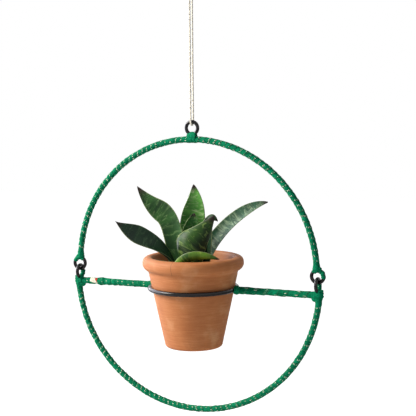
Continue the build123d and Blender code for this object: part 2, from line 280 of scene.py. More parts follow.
# The knot is a plain overhand knot in the doubled twine, pulled down hard on itself.
knot_middle = (knot_bottom + knot_top) / 2
knot_steps = 240
knot_eye = 1.395
knot_lobe = 1.705
knot_rise = 3.42
knot_line = []
for i in range(knot_steps + 1):
    t = 2 * pi * i / knot_steps
    spread = knot_eye + knot_lobe * (2 + cos(3 * t)) / 3
    knot_line.append(place(spread * cos(2 * t), spread * sin(2 * t), knot_middle + knot_rise * sin(3 * t)))
knot = twist_of_plies("twine_tight_knot", evenly(knot_line, twine_step), jute)
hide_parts("twine_knot")
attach(knot, "hook_loop")

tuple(strands_line[0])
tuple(loop_line[0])

# The rings are mild steel rod, closed by a weld and brushed with black enamel, a little thick and uneven.
# One hangs on the twine, the end rings are linked in pairs, and the widest one carries the pot.
enamel_run = 2.4 * mm
enamel_grit = 0.35 * mm
enamel_blacks = [(0.4, "#050506"), (0.62, "#0B0A0D"), (0.76, "#26242A")]
multiply_add = {"operation": "MULTIPLY_ADD"}
enamelled = (
    "hanging_ring", "left_arch_ring", "right_arch_ring", "left_corner_ring", "right_corner_ring",
    "pot_ring", "upper_welds", "lower_welds",
)


def coat(names, material):
    """Gives the frame's own solids their finish."""
    for name in names:
        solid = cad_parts[name].data
        solid.materials.clear()
        solid.materials.append(material)


# Brushed enamel shines softly, with small runs, and it has worn to grey specks where the rings rub.
black_enamel, tree, shader = new_finish("black_enamel")
where = node(tree, "TexCoord").outputs["Object"]
runs = node(tree, "TexNoise", inputs={"Vector": where, "Scale": 1 / enamel_run, "Detail": 2.0})
grit = node(tree, "TexNoise", inputs={"Vector": where, "Scale": 1 / enamel_grit, "Detail": 3.0})
shade = node(tree, "ValToRGB", {"stops": enamel_blacks}, {"Fac": grit.outputs["Fac"]})
dulled = node(tree, "MapRange", inputs={
    "Value": runs.outputs["Fac"], "From Min": 0.3, "From Max": 0.7, "To Min": 0.16, "To Max": 0.3})
height = node(tree, "Math", multiply_add, {
    0: grit.outputs["Fac"], 1: 0.08, 2: runs.outputs["Fac"]})
bump = node(tree, "Bump", inputs={"Height": height.outputs[0], "Strength": 0.3, "Distance": 0.25 * mm})
connect(tree, shader, {
    "Base Color": shade.outputs[0], "Roughness": dulled.outputs[0], "Normal": bump.outputs[0],
    "Specular IOR Level": 0.32})
coat(enamelled, black_enamel)

# The hoops and the crossbar are bent from 4 mm drawn wire, left bare, because the strip covers all of it.
# Bare steel wire is a dull grey metal with fine marks from the drawing.
drawing_mark = 0.4 * mm
wire_greys = [(0.3, "#6E6C68"), (0.7, "#8F8D88")]

drawn_wire, tree, shader = new_finish("drawn_mild_steel")
where = node(tree, "TexCoord").outputs["Object"]
marks = node(tree, "TexNoise", inputs={"Vector": where, "Scale": 1 / drawing_mark, "Detail": 2.0})
shade = node(tree, "ValToRGB", {"stops": wire_greys}, {"Fac": marks.outputs["Fac"]})
connect(tree, shader, {
    "Base Color": shade.outputs[0], "Metallic": 1.0, "Roughness": 0.42})
coat(("arch_wire", "hoop_wire", "left_bar_wire", "right_bar_wire"), drawn_wire)

# The wires are wound with a strip torn from printed cotton, 9 mm wide and lapped by a third. Each turn's
# edge steps up over the last one, the cloth creases where it is pulled round, and the print is cream
# flecks.
strip_greens = [(0.25, "#015C3B"), (0.5, "#047C54"), (0.75, "#09A272")]
print_cream = "#FBF9E4"
print_red = "#B5302A"
edge_shadow = "#02331F"
fray_and_edge_highlight = "#7FD3A8"
crease = 0.9 * mm
crease_stretch = 0.16
mottle = 6 * mm
thread = 0.3 * mm
edge_width = 0.5 * mm
edge_wander = 1.2 * mm
fleck_length = 3.2 * mm
fleck_low = 0.3 * mm
fleck_high = 2.0 * mm
dot_spacing = 4.6 * mm
dot_radius = 0.16
multiply = {"operation": "MULTIPLY"}
colour_mix = {"data_type": "RGBA"}


def printed_cotton(name, on_strip, print_from=0.64):
    """Cotton along the strip, or in the round for a lump, printed where its noise is over print_from.

    It is matt. Creases and weave roughen it. A shadow is painted along its torn edge, and beside it a pale
    band that is partly fray and partly painted highlight.
    """
    material, tree, shader = new_finish(name)
    where = node(tree, "TexCoord").outputs["UV" if on_strip else "Object"]
    kind = {"noise_dimensions": "2D" if on_strip else "3D"}
    stretch = (crease_stretch, 1.0, 1.0) if on_strip else (1, 1, 1)
    along = node(tree, "Mapping", inputs={"Vector": where, "Scale": stretch})
    creases = node(tree, "TexNoise", kind, {"Vector": along.outputs[0], "Scale": 1 / crease, "Detail": 3.0})
    clouds = node(tree, "TexNoise", kind, {"Vector": where, "Scale": 1 / mottle, "Detail": 2.0})
    weave = node(tree, "TexNoise", kind, {"Vector": where, "Scale": 1 / thread, "Detail": 1.0})
    tone = node(tree, "Math", multiply, {0: clouds.outputs["Fac"], 1: 0.4})
    tone = node(tree, "Math", multiply_add, {
        0: creases.outputs["Fac"], 1: 0.6, 2: tone.outputs[0]})
    green = node(tree, "ValToRGB", {"stops": strip_greens}, {"Fac": tone.outputs[0]})
    if on_strip:
        split = node(tree, "SeparateXYZ", inputs={0: where})
        wobble = node(tree, "Math", multiply_add, {
            0: creases.outputs["Fac"], 1: -edge_wander, 2: edge_wander / 2})
        shifted = node(tree, "Math", {"operation": "ADD"}, {0: split.outputs[1], 1: wobble.outputs[0]})
        across = shifted.outputs[0]
        # Painted shadow: the cloth darkens along each turn's edge, where the step over the last turn would
        # shade it.
        dark = node(tree, "MapRange", inputs={
            "Value": across, "From Max": edge_width, "To Min": 0.7, "To Max": 0.0})
        edged = node(tree, "Mix", colour_mix, {
            0: dark.outputs[0], 6: green.outputs[0], 7: linear(edge_shadow)})
        # A pale band just past the painted shadow, partly fray and partly painted highlight on the top of
        # the step.
        fray_and_highlight = node(tree, "MapRange", inputs={
            "Value": across, "From Min": 2.2 * edge_width, "From Max": edge_width,
            "To Min": 0.0, "To Max": 0.1})
        ground = node(tree, "Mix", colour_mix, {
            0: fray_and_highlight.outputs[0], 6: edged.outputs[2], 7: linear(fray_and_edge_highlight)}).outputs[2]
        run = node(tree, "Math", multiply, {0: split.outputs[0], 1: 1 / fleck_length})
        print_run = node(tree, "TexNoise", {"noise_dimensions": "1D"}, {"W": run.outputs[0], "Detail": 0.0})
        there = node(tree, "MapRange", inputs={
            "Value": print_run.outputs["Fac"], "From Min": print_from, "From Max": print_from + 0.03})
        above = node(tree, "MapRange", inputs={
            "Value": across, "From Min": fleck_low, "From Max": 1.4 * fleck_low})
        below = node(tree, "MapRange", inputs={
            "Value": across, "From Min": fleck_high, "From Max": 0.8 * fleck_high})
        fleck = node(tree, "Math", multiply, {0: there.outputs[0], 1: above.outputs[0]})
        fleck = node(tree, "Math", multiply, {0: fleck.outputs[0], 1: below.outputs[0]})
    else:
        ground = green.outputs[0]
        cells = node(tree, "TexVoronoi", inputs={"Vector": where, "Scale": 1 / dot_spacing})
        chosen = node(tree, "SeparateColor", inputs={0: cells.outputs["Color"]})
        size = node(tree, "MapRange", inputs={
            "Value": chosen.outputs[0], "From Min": 0.6, "From Max": 1.0,
            "To Min": 0.0, "To Max": dot_radius})
        fleck = node(tree, "Math", {"operation": "LESS_THAN"}, {
            0: cells.outputs["Distance"], 1: size.outputs[0]})
    colour = node(tree, "Mix", colour_mix, {0: fleck.outputs[0], 6: ground, 7: linear(print_cream)})
    height = node(tree, "Math", multiply_add, {
        0: weave.outputs["Fac"], 1: 0.18, 2: creases.outputs["Fac"]})
    bump = node(tree, "Bump", inputs={"Height": height.outputs[0], "Strength": 0.9, "Distance": 0.5 * mm})
    connect(tree, shader, {
        "Base Color": colour.outputs[2], "Normal": bump.outputs[0], "Roughness": 0.75,
        "Specular IOR Level": 0.06})
    return material


wound_cotton = printed_cotton("wound_printed_cotton", True)
plain_cotton = printed_cotton("sparsely_printed_cotton", True, 0.7)
patched_cotton = printed_cotton("patched_printed_cotton", True, 0.75)

# The left half of the crossbar shows one corner of a larger figure of the print, a cream patch with a red
# point. Each is a stretch of the bar's front with one slanting edge.
patch_left = -119.8 * mm
patch_right = -111.4 * mm
patch_slant = 0.35
red_left = -115.4 * mm
red_slant = 1.25
red_rise = 3.7 * mm
bar_front = -0.4 * mm
tree = patched_cotton.node_tree
shader = tree.nodes["Principled BSDF"]
cloth = shader.inputs["Base Color"].links[0].from_socket
spot = node(tree, "SeparateXYZ", inputs={0: node(tree, "TexCoord").outputs["Object"]})
above_bar = node(tree, "Math", {"operation": "SUBTRACT"}, {0: spot.outputs[2], 1: crossbar_z})
for left, slant, rise, tint in (
    (patch_left, patch_slant, 0.0, print_cream),
    (red_left, red_slant, red_rise, print_red),
):
    edge = node(tree, "Math", multiply_add, {0: spot.outputs[0], 1: slant, 2: above_bar.outputs[0]})
    inside = node(tree, "Math", {"operation": "GREATER_THAN"}, {0: edge.outputs[0], 1: slant * left + rise})
    for operation, axis, limit in (
        ("GREATER_THAN", 0, left),
        ("LESS_THAN", 0, patch_right),
        ("LESS_THAN", 1, bar_front),
    ):
        within = node(tree, "Math", {"operation": operation}, {0: spot.outputs[axis], 1: limit})
        inside = node(tree, "Math", multiply, {0: inside.outputs[0], 1: within.outputs[0]})
    patched = node(tree, "Mix", colour_mix, {0: inside.outputs[0], 6: cloth, 7: linear(tint)})
    cloth = patched.outputs[2]
tree.links.new(cloth, shader.inputs["Base Color"])

wrap_radius = 2.8
wrap_around = 24
cloth_step = 0.62
edge_rise = 0.05
lap_fall = 0.75
strip_lap = 5.8
strip_drift = 0.22
strip_pinch = 0.26
print_shift = 0.37
turn_rows = (0.0, 0.04, 0.12, 0.24, 0.38, 0.52, 0.66, 0.8, 0.9, 0.985)


def hoop_run(centre, radius, start, end):
    """A stretch of a hoop, in degrees. For a length it gives the point, the way out and the way along."""
    sense = 1 if end > start else -1

    def at(run):
        angle = radians(start) + sense * run / radius
        out = Vector((cos(angle), 0, sin(angle)))
        return place(0, 0, centre) + out * radius * mm, out, Vector((-sin(angle), 0, cos(angle))) * sense

    return at, radians(abs(end - start)) * radius


def bar_run(start, end):
    """The same for a stretch of the crossbar."""
    sense = 1 if end > start else -1

    def at(run):
        return place(start + sense * run, 0, 0), Vector((0, 0, 1)), Vector((sense, 0, 0))

    return at, abs(end - start)


def wound(name, run, turns, hand, seed, swell=lambda along: 0.0, ragged=1.0, cotton=wound_cotton):
    """A strip wound on a stretch of wire: rows of points follow its edge, and its ends are cut square."""
    at, length = run
    pitch = length / turns
    rows = [turn + row for turn in range(-2, turns + 2) for row in turn_rows]
    rings = []
    for row in rows:
        turn = floor(row)
        share = row - turn
        lift = 1 - exp(-share / edge_rise)
        slope = 1 - lap_fall * share
        ring = []
        for j in range(wrap_around):
            lap = j / wrap_around
            strip_at = turn + lap if hand > 0 else turn + 1 - lap
            drift = strip_drift * noise.noise(Vector((strip_at * 0.9, seed, 0.0))) * ragged
            along = pitch * (row + drift + (lap if hand > 0 else 1 - lap))
            pinch = strip_pinch * ragged * noise.noise(Vector((strip_at * 1.3, share * 1.5, seed + 7.0)))
            angle = 2 * pi * lap
            radius = wrap_radius + cloth_step * lift * slope + pinch + swell(along)
            point, out, ahead = at(along)
            across = ahead.cross(out)
            ring.append(point + (out * cos(angle) + across * sin(angle)) * radius * mm)
        rings.append(ring)
    girth = 2 * pi * wrap_radius * mm

    def chart(i, j):
        turn = floor(rows[i])
        lap = j / wrap_around
        strip_at = turn + lap if hand > 0 else turn - lap
        return strip_at * girth + seed * print_shift, (rows[i] - turn) * strip_lap * mm

    piece = skin(name, rings, chart, cotton)
    cut = bmesh.new()
    cut.from_mesh(piece.data)
    for cut_at, sense in ((0.0, -1), (length, 1)):
        point, out, ahead = at(cut_at)
        bmesh.ops.bisect_plane(
            cut, geom=cut.verts[:] + cut.edges[:] + cut.faces[:], dist=1e-7,
            plane_co=point, plane_no=ahead * sense, clear_outer=True,
        )
    bmesh.ops.holes_fill(cut, edges=[e for e in cut.edges if e.is_boundary])
    cut.to_mesh(piece.data)
    cut.free()
    return piece


# Each half of the arch and of the hoop is wound up from one joint to the next, with close, even turns.
arch_radius = 132.3
arch_centre = 19.7
arch_wrap_foot = 31.5
arch_turns = 33
top_binding_half = 5.2
hoop_radius = 135.0
hoop_centre = 7.6
hoop_wrap_top = -10.0
hoop_turns = 34

arch_foot_angle = degrees(asin((arch_wrap_foot - arch_centre) / arch_radius))
arch_head_angle = degrees(acos(top_binding_half / arch_radius))
hoop_head_angle = degrees(asin((hoop_centre - hoop_wrap_top) / hoop_radius))
wraps = {
    "arch_wrap_right": ((arch_centre, arch_radius, arch_foot_angle, arch_head_angle), arch_turns, -1, 1.3),
    "arch_wrap_left": (
        (arch_centre, arch_radius, 180 - arch_foot_angle, 180 - arch_head_angle), arch_turns, -1, 4.7,
    ),
    "hoop_wrap_right": ((hoop_centre, hoop_radius, -hoop_head_angle, -90), hoop_turns, 1, 8.1),
    "hoop_wrap_left": ((hoop_centre, hoop_radius, hoop_head_angle - 180, -90), hoop_turns, 1, 12.6),
}
for name, (stretch, turns, hand, seed) in wraps.items():
    strip = wound(name.replace("wrap", "strip"), hoop_run(*stretch), turns, hand, seed)
    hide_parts(name)
    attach(strip, "upper_frame" if name.startswith("arch") else "lower_frame")

# The crossbar's halves are wound less evenly: the left in close turns with a doubled one, the right in wide
# turns.
bar_inner = 52.0
bar_outer = 126.5
left_bar_turns = 12
right_bar_turns = 7


def hump(along, middle, width, height):
    """A rounded swelling at one place along a run."""
    return height * exp(-((along - middle) / width) ** 2)


left_bar_strip = wound(
    "left_bar_strip", bar_run(-bar_outer, -bar_inner), left_bar_turns, 1, 17.9,
    swell=lambda along: 0.2 + hump(along, 20.0, 2.6, 0.9) + hump(along, 27.5, 2.2, 0.35), ragged=1.4,
    cotton=patched_cotton,
)
right_bar_strip = wound(
    "right_bar_strip", bar_run(bar_outer, bar_inner), right_bar_turns, -1, 21.4,
    swell=lambda along: 0.3 + hump(along, 74.0, 12.0, 0.45), ragged=1.2,
    cotton=plain_cotton,
)
for strip, name in ((left_bar_strip, "left_bar_wrap"), (right_bar_strip, "right_bar_wrap")):
    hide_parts(name)
    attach(strip, "lower_frame")

# Where wires and rings meet, the end of the strip is bound over the joint in crossing turns and tucked
# under itself, so the cloth makes a lump. Each is stretches of wound strip and bands, drawn together into
# one skin.
bound_cotton = printed_cotton("bound_printed_cotton", False)
lump_voxel = 0.32 * mm
crumple_size = 1.7 * mm
crumple_depth = 0.14 * mm
band_around = 48
band_thickness = 0.45
band_root = 1.2
eye_radius = 6.3
link_x = 133.2
corner_eye = 10.1
arch_eye = 18.8
stub_lap = 0.15


def blob(centre, sizes):
    """A rounded wad of cloth, from its middle and its half sizes in mm."""
    made = bmesh.new()
    bmesh.ops.create_icosphere(made, subdivisions=4, radius=1.0)
    stretch = Matrix.Diagonal((*[size * mm for size in sizes], 1))
    bmesh.ops.transform(made, verts=made.verts, matrix=Matrix.Translation(place(*centre)) @ stretch)
    return made


def band(centre, radii, tilt, width, thickness=band_thickness):
    """One turn of strip round a joint, tilted about the X, Y and Z axes in degrees from lying flat."""
    made = bmesh.new()
    turned = Matrix.Translation(place(*centre))
    for axis, angle in zip("XYZ", tilt):
        turned = turned @ Matrix.Rotation(radians(angle), 4, axis)
    rows = []
    profile = [(1, -width / 2), (1, width / 2), (0, width / 2), (0, -width / 2)]
    for i in range(band_around):
        angle = 2 * pi * i / band_around
        row = []
        for out, rise in profile:
            reach = out * thickness + (0.0 if out else -band_root)
            point = Vector(((radii[0] + reach) * cos(angle), (radii[1] + reach) * sin(angle), rise)) * mm
            row.append(made.verts.new(turned @ point))
        rows.append(row)
    for i in range(band_around):
        for j in range(4):
            a, b = rows[i], rows[(i + 1) % band_around]
            made.faces.new((a[j], a[(j + 1) % 4], b[(j + 1) % 4], b[j]))
    bmesh.ops.recalc_face_normals(made, faces=made.faces)
    return made


def sleeve(centre, level, start, end, thickness, turns, seed, inset=0.0):
    """Strip wound along part of a small ring, from one angle up from level to another."""
    middle = place(*centre)
    reach = eye_radius - inset
    up = Vector((0, 0, 1))

    def at(run):
        angle = radians(start) + run / reach
        out = level * cos(angle) + up * sin(angle)
        return middle + out * reach * mm, out, -level * sin(angle) + up * cos(angle)

    length = radians(end - start) * reach
    return wound("stub", (at, length), turns, 1, seed, swell=lambda along: thickness - wrap_radius)


def flare(start, rise):
    """A strip that thickens steadily along its run."""
    return lambda along: start + rise * along


def mirrored(angle, side, turn):
    """An angle on a hoop's right half, or that of the same place on its left half."""
    return angle if side > 0 else turn - angle


def lump(name, node_name, body, pieces, seed):
    """Draws pieces of cloth together into one skin, then creases it."""
    joined = bmesh.new()
    for piece in pieces:
        if isinstance(piece, bmesh.types.BMesh):
            loose = bpy.data.meshes.new("loose")
            piece.to_mesh(loose)
            joined.from_mesh(loose)
            bpy.data.meshes.remove(loose)
            piece.free()
        else:
            joined.from_mesh(piece.data)
            bpy.data.objects.remove(piece)
    mesh = bpy.data.meshes.new(name)
    joined.to_mesh(mesh)
    joined.free()
    made = add_object(name, mesh)
    remesh = made.modifiers.new("draw_together", "REMESH")
    remesh.mode = "VOXEL"
    remesh.voxel_size = lump_voxel
    ease = made.modifiers.new("ease", "SMOOTH")
    ease.factor = 0.5
    ease.iterations = 2
    final = bpy.data.meshes.new_from_object(made.evaluated_get(bpy.context.evaluated_depsgraph_get()))
    made.modifiers.clear()
    made.data = final
    for vertex in final.vertices:
        crumple = noise.noise(vertex.co / crumple_size + Vector((seed, 0, 0)))
        vertex.co += vertex.normal * crumple * crumple_depth
    final.polygons.foreach_set("use_smooth", [True] * len(final.polygons))
    final.materials.clear()
    final.materials.append(bound_cotton)
    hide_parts(node_name)
    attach(made, body)
    return made


# A corner's lump covers the weld of bar and hoop and climbs the back of the corner ring. The left one is
# fatter.
corner_x = 134.8
corner_wad = {-1: 5.0, 1: 3.6}
bar_stub_lap = 0.4
for side, name, seed in ((-1, "left", 31.0), (1, "right", 37.0)):
    lump(
        name + "_corner_lump", name + "_corner_binding", "lower_frame",
        [
            wound(
                "stub", bar_run(side * (bar_outer - bar_stub_lap), side * (link_x + 1)), 2, 1, seed,
                swell=flare(0.1, 0.09),
            ),
            wound(
                "stub",
                hoop_run(
                    hoop_centre, hoop_radius,
                    mirrored(-hoop_head_angle - stub_lap, side, -180), mirrored(-1.0, side, -180),
                ),
                3, 1, seed + 1, swell=flare(0.1, 0.06),
            ),
            sleeve((side * link_x, 0, corner_eye), Vector((0, 1, 0)), -115, 0, 2.1, 3, seed + 2),
            blob((side * (corner_x - 0.6), 0, 0.2), (corner_wad[side], 3.4, 4.6)),
            blob((side * (corner_x - 4.4), 0, -3.4), (3.6, 2.8, 3.4)),
            band((side * (corner_x - 1.0), 0, -0.5), (5.0, 3.5), (0, side * 28, 0), 4.6),
            band((side * (corner_x - 1.0), 0, -0.5), (5.6, 3.5), (0, side * -42, 0), 4.0),
            band((side * (corner_x - 2.5), 0, 0), (3.9, 3.9), (0, 90, 0), 4.4),
        ],
        seed,
    )

# At the arch's ends the strip runs off the wire and round the top of the end ring, which shows black below.
arch_wad_x = link_x - 0.6
ring_sleeve_turns = 4
for side, name, seed, outer_reach in ((-1, "left", 43.0, 18), (1, "right", 47.0, -20)):
    lump(
        name + "_arch_lump", name + "_arch_binding", "upper_frame",
        [
            wound(
                "stub",
                hoop_run(
                    arch_centre, arch_radius,
                    mirrored(arch_foot_angle + stub_lap, side, 180), mirrored(2.4, side, 180),
                ),
                2, -1, seed, swell=flare(0.12, 0.11),
            ),
            sleeve(
                (side * link_x, 0, arch_eye), Vector((side, 0, 0)),
                outer_reach, 140, 2.0, ring_sleeve_turns, seed + 2, inset=0.45,
            ),
            blob((side * arch_wad_x, 0, arch_eye + 7.2), (4.3, 3.1, 3.0)),
            band((side * arch_wad_x, 0, arch_eye + 7.6), (4.1, 3.1), (0, side * 14, 0), 3.6),
        ],
        seed,
    )

# A knob of strip closes each half of the crossbar against the pot's ring.
knob_inner = 45.2
knob_band_x = 47.6
knob_band_radius = 4.1
for side, name, seed in ((-1, "left", 53.0), (1, "right", 59.0)):
    lump(
        name + "_knob", name + "_pot_ring_binding", "lower_frame",
        [
            wound(
                "stub", bar_run(side * (bar_inner + 0.3), side * knob_inner), 2, 1, seed,
                swell=lambda along: 0.5 + hump(along, 4.6, 2.4, 0.9),
            ),
            band((side * knob_band_x, 0, 0), (knob_band_radius, knob_band_radius), (side * 6, 90, 0), 3.0),
        ],
        seed,
    )

# The band under the hanging ring is six close turns over the arch and the ring's foot, so it stands square
# and high, with every second turn a little prouder.
top_stub_half = 2.3
top_band_height = 154.2
top_band_width = 1.7
lump(
    "hanging_ring_lump", "top_ring_binding", "upper_frame",
    [
        wound(
            "stub", hoop_run(arch_centre, arch_radius, 90 - top_stub_half, 90 + top_stub_half), 3, -1, 61.0,
            swell=lambda along: 0.2,
        ),
        *[
            band(
                (x, 0, top_band_height - 0.1 * abs(x)), (5.3, 3.1), (x * 3, 90, 0), top_band_width,
                0.3 + 0.12 * (i % 2),
            )
            for i, x in enumerate((-4.1, -2.5, -0.9, 0.8, 2.4, 4.0))
        ],
        blob((0, 0, 155.0), (4.6, 3.0, 4.4)),
    ],
    61.0,
)

# The pot is thrown terracotta, fired and unglazed, with a heavy rolled rim and a soft ridge under it. The
# leaves and the mix stand in it, and its body rests in the pot ring, which grips it where it narrows.
pot_profile = [
    [(6.5, -60.8), (6.7, -61.0), (26.4, -61.0)],
    [(26.4, -61.0), (29.0, -60.0), (30.0, -57.4)],
    [(30.0, -57.4), (44.55, 10.0), (45.2, 12.6), (45.4, 13.6)],
    [(45.4, 13.6), (45.9, 16.5), (47.0, 18.6)],
    [(47.0, 18.6), (51.0, 21.8), (52.1, 26.7)],
    [(52.1, 26.7), (50.4, 31.0), (46.0, 32.7)],
    [(46.0, 32.7), (42.7, 31.6), (41.3, 28.6)],
    [(41.3, 28.6), (40.0, 24.0), (27.8, -52.5)],
    [(27.8, -52.5), (27.1, -54.3), (25.2, -55.0)],
    [(25.2, -55.0), (6.7, -55.0), (6.5, -55.2), (6.5, -60.8)],
]
pot_bows = (1, 3, 4, 5, 6, 8)
clay = [(0.3, "#B0642F"), (0.5, "#C27842"), (0.7, "#D39058")]
clay_bloom = "#E6B98C"
crack_brown = "#4E2A16"
wheel_line = 1.1 * mm
wheel_stretch = 0.06
grog = 0.5 * mm
clay_patch = 19 * mm
crack_x = -1.2 * mm
crack_width = 0.13 * mm
crack_wander = 2.2 * mm
crack_bend = 3 * mm
crack_front = -38 * mm
crack_foot = place(0, 0, 19.0).z

# Unglazed clay is matt. Fine rings from the wheel run round it, grog speckles it, salts bloom on it in pale
# clouds, and a hairline crack runs down the front of the rim.
terracotta, tree, shader = new_finish("unglazed_terracotta")
where = node(tree, "TexCoord").outputs["Object"]
flat = node(tree, "Mapping", inputs={"Vector": where, "Scale": (wheel_stretch, wheel_stretch, 1.0)})
lines = node(tree, "TexNoise", inputs={"Vector": flat.outputs[0], "Scale": 1 / wheel_line, "Detail": 3.0})
speckle = node(tree, "TexNoise", inputs={
    "Vector": where, "Scale": 1 / grog, "Detail": 3.0, "Roughness": 0.7})
patches = node(tree, "TexNoise", inputs={"Vector": where, "Scale": 1 / clay_patch, "Detail": 4.0})
tone = node(tree, "Math", multiply, {0: lines.outputs["Fac"], 1: 0.35})
tone = node(tree, "Math", multiply_add, {0: patches.outputs["Fac"], 1: 0.4, 2: tone.outputs[0]})
tone = node(tree, "Math", multiply_add, {0: speckle.outputs["Fac"], 1: 0.25, 2: tone.outputs[0]})
body_clay = node(tree, "ValToRGB", {"stops": clay}, {"Fac": tone.outputs[0]})
bloom = node(tree, "MapRange", inputs={
    "Value": patches.outputs["Fac"], "From Min": 0.56, "From Max": 0.74, "To Max": 0.22})
chalky = node(tree, "Mix", colour_mix, {
    0: bloom.outputs[0], 6: body_clay.outputs[0], 7: linear(clay_bloom)})
spot = node(tree, "SeparateXYZ", inputs={0: where})
wander = node(tree, "TexNoise", {"noise_dimensions": "1D"}, {
    "W": spot.outputs[2], "Scale": 1 / crack_bend, "Detail": 3.0})
shift = node(tree, "Math", multiply_add, {
    0: wander.outputs["Fac"], 1: crack_wander, 2: -crack_x - crack_wander / 2})
off_line = node(tree, "Math", {"operation": "ADD"}, {0: spot.outputs[0], 1: shift.outputs[0]})
off_line = node(tree, "Math", {"operation": "ABSOLUTE"}, {0: off_line.outputs[0]})
crack = node(tree, "MapRange", inputs={
    "Value": off_line.outputs[0], "From Min": crack_width, "From Max": 2 * crack_width,
    "To Min": 0.75, "To Max": 0.0})
in_front = node(tree, "Math", {"operation": "LESS_THAN"}, {0: spot.outputs[1], 1: crack_front})
over_foot = node(tree, "Math", {"operation": "GREATER_THAN"}, {0: spot.outputs[2], 1: crack_foot})
crack = node(tree, "Math", multiply, {0: crack.outputs[0], 1: in_front.outputs[0]})
crack = node(tree, "Math", multiply, {0: crack.outputs[0], 1: over_foot.outputs[0]})
colour = node(tree, "Mix", colour_mix, {
    0: crack.outputs[0], 6: chalky.outputs[2], 7: linear(crack_brown)})
height = node(tree, "Math", multiply_add, {
    0: speckle.outputs["Fac"], 1: 0.3, 2: lines.outputs["Fac"]})
bump = node(tree, "Bump", inputs={"Height": height.outputs[0], "Strength": 0.4, "Distance": 0.3 * mm})
connect(tree, shader, {
    "Base Color": colour.outputs[2], "Normal": bump.outputs[0], "Roughness": 0.7})

bow_steps = 10
straight_step = 1.2


def pot_outline():
    """The pot's section as a closed run of points. A bow goes through its middle point."""
    points = []
    for number, part in enumerate(pot_profile):
        if number in pot_bows:
            a, b, c = [Vector(p) for p in part]
            pull = b * 2 - (a + c) / 2
            for i in range(bow_steps):
                t = i / bow_steps
                points.append(a * (1 - t) ** 2 + pull * 2 * t * (1 - t) + c * t * t)
        else:
            for a, b in zip(part, part[1:]):
                a, b = Vector(a), Vector(b)
                steps = max(1, int((b - a).length / straight_step))
                points += [a.lerp(b, i / steps) for i in range(steps)]
    return points


# The potter's fingers leave low rings, and the wall runs a little out of true. Both fade out towards the
# foot.
pot_around = 144
finger_ring = 0.09
finger_pitch = 1.9
out_of_true = 0.22
still_radius = 20
still_fade = 10
outline = pot_outline()
vertices = []
for radius, level in outline:
    for j in range(pot_around):
        angle = 2 * pi * j / pot_around
        across, back = cos(angle), sin(angle)
        thrown = finger_ring * noise.noise(Vector((across * 0.6, back * 0.6, level / finger_pitch)))
        thrown += out_of_true * noise.noise(Vector((across, back, level / 40 + 9)))
        reach = radius + thrown * min(1.0, max(0.0, (radius - still_radius) / still_fade))
        vertices.append(place(reach * across, reach * back, level))
faces = []
for i in range(len(outline)):
    for j in range(pot_around):
        k, m = (j + 1) % pot_around, (i + 1) % len(outline)
        faces.append((i * pot_around + j, i * pot_around + k, m * pot_around + k, m * pot_around + j))
pot_mesh = bpy.data.meshes.new("thrown_pot")
pot_mesh.from_pydata(vertices, [], faces)
pot_mesh.polygons.foreach_set("use_smooth", [True] * len(faces))
pot_mesh.materials.append(terracotta)
pot = add_object("thrown_pot", pot_mesh)
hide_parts("pot")
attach(pot, "pot")

# The pot is filled with potting mix, dark and damp: bark, peat and a little grit, scattered loose on top.
soil_top = 16.0
soil_radius = 38.4
soil_around = 72
soil_rows = 26
soil_sink = 0.9
soil_relief = 0.6
soil_section = ((0.1, -54.8), (25.0, -54.8), (27.6, -52.4), (soil_radius, soil_top - 1.4))
soil_browns = [(0.4, "#120C08"), (0.65, "#33241A"), (0.95, "#5B4532")]
bark_chip = 2.2 * mm
peat_grain = 0.8 * mm

# Damp bark and peat are almost black and have no shine, with paler chips on top.
potting_mix, tree, shader = new_finish("bark_and_peat")
where = node(tree, "TexCoord").outputs["Object"]
crumbs = node(tree, "TexVoronoi", inputs={"Vector": where, "Scale": 1 / bark_chip})
dust = node(tree, "TexNoise", inputs={"Vector": where, "Scale": 1 / peat_grain, "Detail": 4.0})
tone = node(tree, "Math", multiply_add, {
    0: crumbs.outputs["Distance"], 1: 0.5, 2: dust.outputs["Fac"]})
shade = node(tree, "ValToRGB", {"stops": soil_browns}, {"Fac": tone.outputs[0]})
bump = node(tree, "Bump", inputs={"Height": tone.outputs[0], "Strength": 1.0, "Distance": peat_grain})
connect(tree, shader, {
    "Base Color": shade.outputs[0], "Normal": bump.outputs[0], "Roughness": 0.95})


def soil_ring(radius, height_at):
    """Points round the pot at one radius, each as high as height_at says for its x and y."""
    ring = []
    for j in range(soil_around):
        x, y = radius * cos(2 * pi * j / soil_around), radius * sin(2 * pi * j / soil_around)
        ring.append(place(x, y, height_at(x, y)))
    return ring


def loose_top(x, y):
    """The height of the scattered surface, in chips with crumbs on them."""
    chips = noise.noise(Vector((x / 3.5, y / 3.5, 0))) * 0.7
    fines = noise.noise(Vector((x / 1.2, y / 1.2, 5))) * 0.45
    return soil_top - soil_sink + soil_relief * (chips + fines)


soil_rings = [soil_ring(radius, lambda x, y: level) for radius, level in soil_section]
soil_rings += [soil_ring(soil_radius * (1 - i / soil_rows), loose_top) for i in range(1, soil_rows)]
bed = skin("potting_mix_bed", soil_rings, lambda i, j: (i * mm, j * mm), potting_mix)
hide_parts("soil")
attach(bed, "pot")

